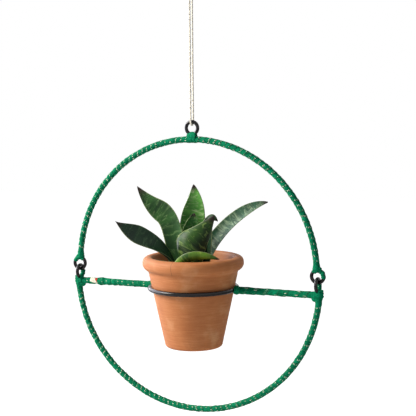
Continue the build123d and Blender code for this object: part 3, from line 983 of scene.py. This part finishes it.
# The plant is a small rosette with thick, stiff leaves, each a channel that tapers to a hard brown spike.
# They stand in the mix round one root, and no two are marked alike. path is a midrib's four control points.
# face and curl are the way the hollow looks and how far it closes, at foot and tip. base is the width at
# the foot, peak where it is widest, point how fast it narrows and bands how much of it is pale.
plain_form = dict(curl=(60, 40), base=0.7, peak=0.45, point=0.8)
leaves = {
    "leaf_low_left": dict(
        path=((-13.9, -10.6, 10), (-13.2, -15.7, 46.0), (-42.0, -35.1, 48.8), (-64.1, -48.3, 71.5)),
        width=22.9, face=((0.63, 0.33, 0.70), (0.58, -0.72, 0.38)),
        curl=(70, 40), base=0.42, peak=0.69, point=1.2,
        colours=("#10291A", "#1C3D24", "#5A7A55"), bands=0.4,
    ),
    "leaf_high_left": dict(
        path=((-13.8, 1.5, 10), (-25.1, -2.4, 98.6), (-29.6, 0.0, 60.8), (-58.8, -8.7, 103.6)),
        width=23.6, face=((-0.05, -1.0, -0.05), (0.16, -0.97, -0.17)),
        curl=(60, 40), base=0.95, peak=0.58, point=0.78,
        colours=("#193A19", "#305D29", "#7C9F66"), bands=0.5,
    ),
    "leaf_upright": dict(
        path=((-4.4, 12.3, 10), (-11.3, 10.3, 76.3), (-1.1, 17.0, 72.5), (-6.4, 16.9, 104.9)),
        width=27.4, face=((0.54, -0.84, 0.03), (0.35, -0.93, 0.15)),
        curl=(80, 50), base=0.59, peak=0.36, point=0.72,
        colours=("#3A7A2D", "#6CB04F", "#CBE0A9"), bands=0.6,
    ),
    "leaf_right": dict(
        path=((8.4, 8.1, 10), (0.9, 9.1, 41.9), (44.7, 33.0, 84.4), (65.5, 44.5, 86.1)),
        width=19.1, face=((-0.07, -0.94, 0.35), (-0.23, -0.57, 0.79)),
        curl=(60, 40), base=0.61, peak=0.67, point=0.93,
        colours=("#183A22", "#2F5B40", "#9DB892"), bands=0.7,
    ),
    "leaf_curled": dict(
        path=((4.2, -16.8, 10), (-1.5, -26.9, 53.9), (6.3, -21.3, 35.2), (26.6, -5.6, 75.9)),
        width=39.9, face=((0.47, 0.87, 0.12), (-0.64, 0.76, 0.08)),
        curl=(130, 90), base=0.53, peak=0.43, point=0.8,
        colours=("#12290B", "#2C5216", "#93B060"), bands=0.45,
    ),
    "leaf_on_rim": dict(
        path=((-8.5, -30.6, 10), (-0.9, -40.3, 40.0), (20.8, -35.6, 42.0), (39.6, -25.2, 34.5)),
        width=11, face=((-0.4, 0.9, 0.3), (-0.4, 0.9, 0.3)), **plain_form,
        colours=("#34561F", "#658E2A", "#A9BC58"), bands=0.35,
    ),
    "leaf_small_right": dict(
        path=((14.3, -0.2, 10), (14.0, 3.0, 48.0), (12.7, 3.5, 84.0), (24.9, 6.7, 68.0)),
        width=15, face=((-0.26, -0.88, 0.30), (-0.26, -0.88, 0.30)), **plain_form,
        colours=("#122B18", "#1F4226", "#5E8357"), bands=0.3,
    ),
    "leaf_inner_left": dict(
        path=((-7.9, -26.5, 10), (-11.1, -29.6, 22.8), (-19.7, -30.3, 28.8), (-29.0, -28.4, 31.5)),
        width=11, face=((0.43, -0.47, 1.0), (0.43, -0.47, 1.0)), **plain_form,
        colours=("#16331B", "#264F26", "#6C8F50"), bands=0.3,
    ),
    "leaf_young": dict(
        path=((-0.5, -1.3, 10), (-1.5, -4.0, 36.0), (-1.1, -4.9, 58.0), (2.6, -2.1, 77.0)),
        width=24, face=((0.5, -0.87, 0.2), (0.5, -0.87, 0.2)),
        curl=(90, 60), base=0.7, peak=0.5, point=0.8,
        colours=("#2A6325", "#4A8C3B", "#A2C585"), bands=0.4,
    ),
}
leaf_rows = 56
leaf_across = 14
leaf_band = 4.2 * mm
leaf_cloud = 16 * mm
leaf_vein = 0.9 * mm
leaf_thickness = 2.2
leaf_edge = 0.35
leaf_ripple = 0.5
spike_share = 0.955
spike_half = 0.45
tip_half = 0.12
leaf_margin = "#B4C08A"
margin_share = 0.55
leaf_spike = "#2A211A"


def waxy_leaf(name, colours, bands, length, width, seed):
    """Leaf skin, charted from foot to tip and out from the midrib.

    It shines softly over dark green, with irregular pale bands, a pale margin and a brown spike.
    """
    dark, middle, pale = colours
    material, tree, shader = new_finish(name)
    where = node(tree, "TexCoord").outputs["UV"]
    shifted = node(tree, "Mapping", inputs={
        "Vector": where, "Location": (seed, 0, 0), "Scale": (1.0, 0.3, 1.0)})
    across = node(tree, "TexNoise", flat_noise, {
        "Vector": shifted.outputs[0], "Scale": 1 / leaf_band, "Detail": 5.0,
        "Roughness": 0.62, "Distortion": 0.8})
    cloud = node(tree, "TexNoise", flat_noise, {
        "Vector": shifted.outputs[0], "Scale": 1 / leaf_cloud, "Detail": 2.0})
    drawn_out = node(tree, "Mapping", inputs={"Vector": where, "Scale": (0.05, 1.0, 1.0)})
    veins = node(tree, "TexNoise", flat_noise, {
        "Vector": drawn_out.outputs[0], "Scale": 1 / leaf_vein, "Detail": 2.0})
    greens = {"stops": [(0.35, dark), (0.65, middle)]}
    ground = node(tree, "ValToRGB", greens, {"Fac": cloud.outputs["Fac"]})
    mark = node(tree, "MapRange", inputs={
        "Value": across.outputs["Fac"], "From Min": 0.62 - 0.2 * bands, "From Max": 0.78 - 0.1 * bands,
        "To Max": 0.35 + 0.5 * bands})
    marked = node(tree, "Mix", colour_mix, {
        0: mark.outputs[0], 6: ground.outputs[0], 7: linear(pale)})
    run = node(tree, "SeparateXYZ", inputs={0: where})
    from_midrib = node(tree, "Math", {"operation": "ABSOLUTE"}, {0: run.outputs[1]})
    margin = node(tree, "MapRange", inputs={
        "Value": from_midrib.outputs[0], "From Min": 0.462 * width, "From Max": 0.485 * width,
        "To Max": margin_share})
    edged = node(tree, "Mix", colour_mix, {
        0: margin.outputs[0], 6: marked.outputs[2], 7: linear(leaf_margin)})
    tip = node(tree, "MapRange", inputs={
        "Value": run.outputs[0], "From Min": length * (spike_share - 0.05),
        "From Max": length * (spike_share + 0.01)})
    colour = node(tree, "Mix", colour_mix, {
        0: tip.outputs[0], 6: edged.outputs[2], 7: linear(leaf_spike)})
    height = node(tree, "Math", multiply_add, {
        0: veins.outputs["Fac"], 1: 0.6, 2: across.outputs["Fac"]})
    bump = node(tree, "Bump", inputs={"Height": height.outputs[0], "Strength": 0.25, "Distance": 0.4 * mm})
    connect(tree, shader, {
        "Base Color": colour.outputs[2], "Normal": bump.outputs[0], "Roughness": 0.45,
        "Specular IOR Level": 0.22})
    return material


def leaf_blade(name, spec, seed):
    """A leaf as a closed channel: its hollow side, then its back."""
    a, b, c, d = [place(*point) for point in spec["path"]]
    (foot_face, tip_face), (foot_curl, tip_curl) = spec["face"], spec["curl"]
    base, peak = spec["base"], spec["peak"]

    def midrib(t):
        s = 1 - t
        return a * s**3 + b * 3 * s * s * t + c * 3 * s * t * t + d * t**3

    length = sum((midrib((i + 1) / 40) - midrib(i / 40)).length for i in range(40))
    rings = []
    for i in range(leaf_rows):
        t = i / (leaf_rows - 1)
        way = (midrib(t + 0.002) - midrib(t - 0.002)).normalized()
        up = Vector(foot_face) * (1 - t) + Vector(tip_face) * t
        up = (up - way * up.dot(way)).normalized()
        side = way.cross(up)
        rise = base + (1 - base) * sin(pi / 2 * min(1, t / peak))
        fall = cos(pi / 2 * max(0, (t - peak) / (1 - peak))) ** spec["point"]
        spike = spike_half * (1 - t) / (1 - spike_share) if t > spike_share else 0
        width = max(spec["width"] / 2 * rise * fall, spike, tip_half)
        half = radians(foot_curl * (1 - t) + tip_curl * t) / 2
        thick = min(leaf_thickness * min(1, 3.3 * (1 - t) + 0.3), width * 0.9)
        front, back = [], []
        for j in range(leaf_across + 1):
            u = 2 * j / leaf_across - 1
            bend = half * u
            ripple = leaf_ripple * u * u * sin(9 * t + 2.2 * u + seed) * min(1, 4 * t)
            reach = width / half
            point = midrib(t) + (side * sin(bend) * reach + up * ((1 - cos(bend)) * reach + ripple)) * mm
            normal = up * cos(bend) - side * sin(bend)
            front.append(point)
            back.append(point - normal * (leaf_edge + (thick - leaf_edge) * (1 - u * u)) * mm)
        rings.append(front + back[::-1])
    count = 2 * (leaf_across + 1)

    def chart(i, j):
        j = j % count
        u = j if j <= leaf_across else count - 1 - j
        return i / (leaf_rows - 1) * length, (u / leaf_across - 0.5) * spec["width"] * mm

    widest = spec["width"] * mm
    leaf_skin = waxy_leaf(name + "_skin", spec["colours"], spec["bands"], length, widest, seed)
    return skin(name, rings, chart, leaf_skin)


for number, (name, spec) in enumerate(leaves.items()):
    blade = leaf_blade(name.replace("leaf", "blade"), spec, 0.7 + number * 1.9)
    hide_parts(name)
    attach(blade, "pot")

# A plain pale floor lies well below the planter. It is matt paint, and to the camera it also glows a
# little, so that it runs into the white background and still takes the planter's shadow.
floor_drop = 300.0
floor_half = 4000
floor_corners = ((-1, -1), (1, -1), (1, 1), (-1, 1))
floor_glow = 1.6
glow_share = 0.6
floor_mesh = bpy.data.meshes.new("floor")
floor_mesh.from_pydata(
    [place(x * floor_half, y * floor_half, -floor_drop) for x, y in floor_corners], [], [(0, 1, 2, 3)]
)
floor_board = add_object("floor", floor_mesh)

painted_board, tree, shader = new_finish("matt_white_paint")
connect(tree, shader, {
    "Base Color": linear("#F4F4F6"), "Roughness": 0.9})
seen = node(tree, "LightPath").outputs["Is Camera Ray"]
glow = node(tree, "Emission", inputs={"Color": linear("#FFFFFF"), "Strength": floor_glow})
share = node(tree, "Math", multiply, {0: seen, 1: glow_share})
mixed = node(tree, "MixShader", inputs={0: share.outputs[0], 1: shader.outputs[0], 2: glow.outputs[0]})
tree.links.new(mixed.outputs[0], tree.nodes["Material Output"].inputs["Surface"])
floor_mesh.materials.append(painted_board)

# All round is white to the camera and in reflections, and a weak grey fill as light.
fill_strength = 0.2
world = bpy.data.worlds.new("studio")
scene.world = world
world.use_nodes = True
tree = world.node_tree
tree.nodes.clear()
paths = node(tree, "LightPath")
shiny = node(tree, "Math", {"operation": "MAXIMUM"}, {
    0: paths.outputs["Is Glossy Ray"], 1: paths.outputs["Is Transmission Ray"]})
direct = node(tree, "Math", {"operation": "MAXIMUM"}, {
    0: paths.outputs["Is Camera Ray"], 1: shiny.outputs[0]})
fill = node(tree, "Background", inputs={"Color": linear("#F2F5FF"), "Strength": fill_strength})
white = node(tree, "Background", inputs={"Color": linear("#FFFFFF"), "Strength": 1.0})
mixed = node(tree, "MixShader", inputs={0: direct.outputs[0], 1: fill.outputs[0], 2: white.outputs[0]})
node(tree, "OutputWorld", inputs={"Surface": mixed.outputs[0]})

# A wide soft lamp lights the planter from the upper left, and a weak one fills its right side. The third is
# seen only in reflections, where it makes the bright line down the left of every glossy wire. Each has its
# place, its width in metres, its power in watts and its tint.
reflected_lamp = "glint"
lamps = {
    "soft_key": ((-1000, -640, 800), 0.6, 27.0, "#FFF9F0"),
    "right_fill": ((700, -900, 100), 1.2, 0.8, "#F4F6FF"),
    reflected_lamp: ((-1400, 150, 350), 2.2, 58.0, "#F3F1FF"),
}
for name, (lamp_place, size, power, tint) in lamps.items():
    light = bpy.data.lights.new(name, "AREA")
    light.shape = "DISK"
    light.size = size
    light.energy = power
    light.color = linear(tint)[:3]
    lamp = add_object(name, light)
    lamp.visible_diffuse = name != reflected_lamp
    lamp.location = place(*lamp_place)
    lamp.rotation_euler = (place(0, 0, 0) - lamp.location).to_track_quat("-Z", "Y").to_euler()

scene.view_settings.view_transform = "Standard"
